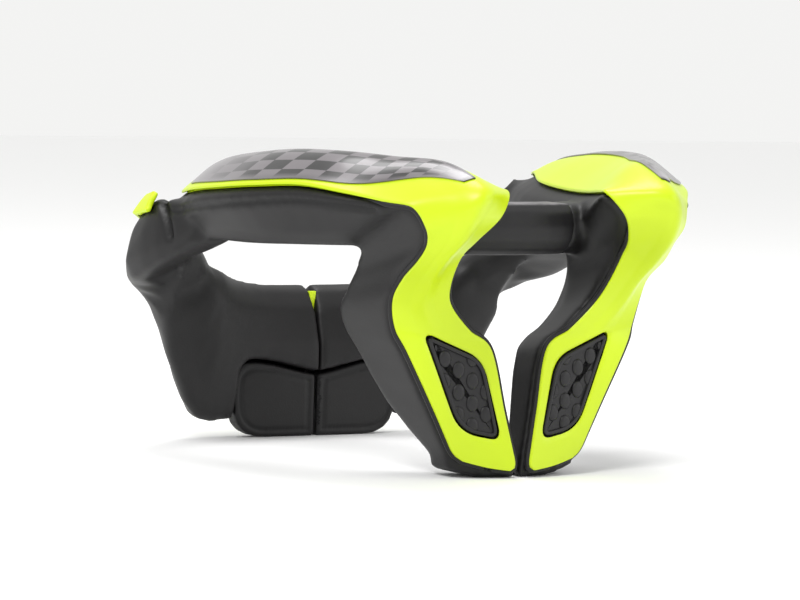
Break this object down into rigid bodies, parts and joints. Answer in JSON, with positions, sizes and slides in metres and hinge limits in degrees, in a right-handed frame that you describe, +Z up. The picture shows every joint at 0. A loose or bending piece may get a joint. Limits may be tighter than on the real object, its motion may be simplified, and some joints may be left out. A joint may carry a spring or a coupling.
{
  "type": "motocross neck brace",
  "caption": "Moulded foam neck brace with bright plates over the shoulder rims and down the chest legs, a ribbed pad in each leg, a throat bridge and a seam with closure flaps at the nape.",
  "frame": {"origin": "middle of the brace's bounding box, on the surface that the toes of the chest legs and the closure flaps stand on", "axes": "+Z up, -Y towards the wearer's front (the chest legs), +X towards the wearer's left"},
  "size_m": [0.2296, 0.2288, 0.1364],
  "materials": {
    "foam": "satin moulded skin foam",
    "bridge": "satin moulding, lightly worn on top",
    "plate": "semi-gloss moulded plastic",
    "panel": "glossy printed film",
    "pad": "satin rubber with raised studs",
    "flap": "satin moulded skin foam",
    "strap": "semi-matte soft plastic"
  },
  "bodies": {
    "root": {"foam_left": "foam", "foam_right": "foam", "throat_bridge": "bridge", "plate_left": "plate", "plate_right": "plate", "deck_panel_left": "panel", "deck_panel_right": "panel", "chest_pad_left": "pad", "chest_pad_right": "pad", "closure_flap_left": "flap", "closure_flap_right": "flap", "rear_strap": "strap"}
  },
  "joints": []
}
